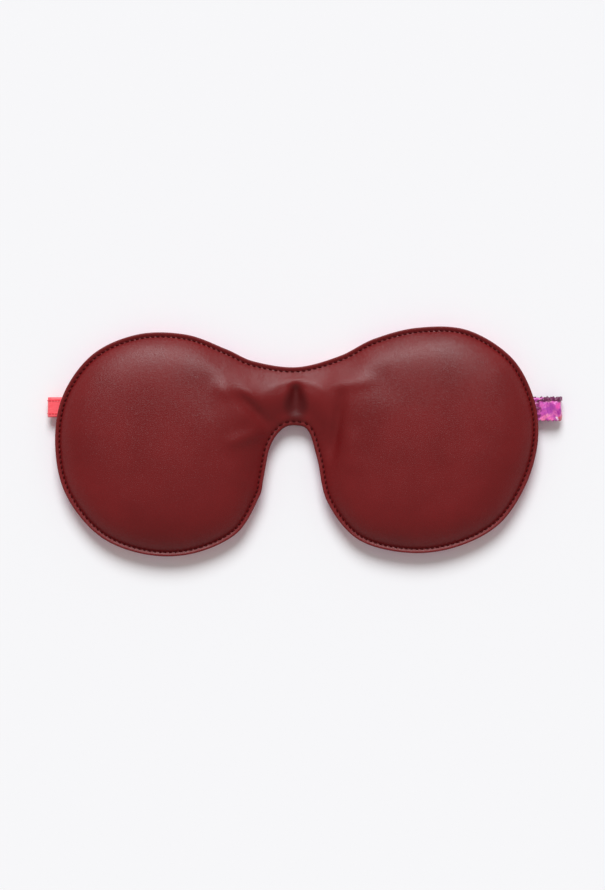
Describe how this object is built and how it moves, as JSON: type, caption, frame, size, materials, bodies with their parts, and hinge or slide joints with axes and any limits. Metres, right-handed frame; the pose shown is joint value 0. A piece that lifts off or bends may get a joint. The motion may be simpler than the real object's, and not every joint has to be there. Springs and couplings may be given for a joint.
{
  "type": "padded sleep mask",
  "caption": "Padded leather sleep mask with two round lobes, a nose notch, a topstitched rim and a narrow elastic head strap folded behind it.",
  "frame": {"origin": "on the surface that the lining lies on, under the middle of the whole object, strap folds included", "axes": "+Z out of the leather front, +X from the plain tape's side to the gathered casing's side, +Y towards the brow edge"},
  "size_m": [0.2291, 0.1022, 0.0165],
  "materials": {
    "leather": "smooth burgundy nappa leather with a soft sheen",
    "silk_print": "printed silk satin lining",
    "blackout": "thin dark interlining",
    "wadding": "soft polyester wadding",
    "burgundy_thread": "twisted polyester sewing thread",
    "coral_silk": "coral silk satin tape",
    "purple_silk": "printed silk, gathered over elastic",
    "elastic": "braided elastic",
    "coral_thread": "fine sewing thread"
  },
  "bodies": {
    "left_half": {"front_panel": "leather", "back_panel": "silk_print", "blackout_layer": "blackout", "pad_left": "wadding", "topstitch_thread": "burgundy_thread", "bobbin_thread": "burgundy_thread", "strap_tape": "coral_silk", "tape_stitch_upper": "coral_thread", "tape_stitch_lower": "coral_thread"},
    "right_half": {"pad_right": "wadding", "strap_casing": "purple_silk", "strap_elastic": "elastic", "join_stitch": "coral_thread"}
  },
  "joints": [
    {"name": "bridge_fold", "type": "hinge", "parent": "left_half", "child": "right_half", "pos_m": [-0.004, 0.02, 0.009], "axis": [0, -1, 0], "range_deg": [0, 150], "deforming": ["front_panel", "back_panel", "blackout_layer", "topstitch_thread", "bobbin_thread", "strap_casing", "strap_elastic", "join_stitch"]}
  ]
}
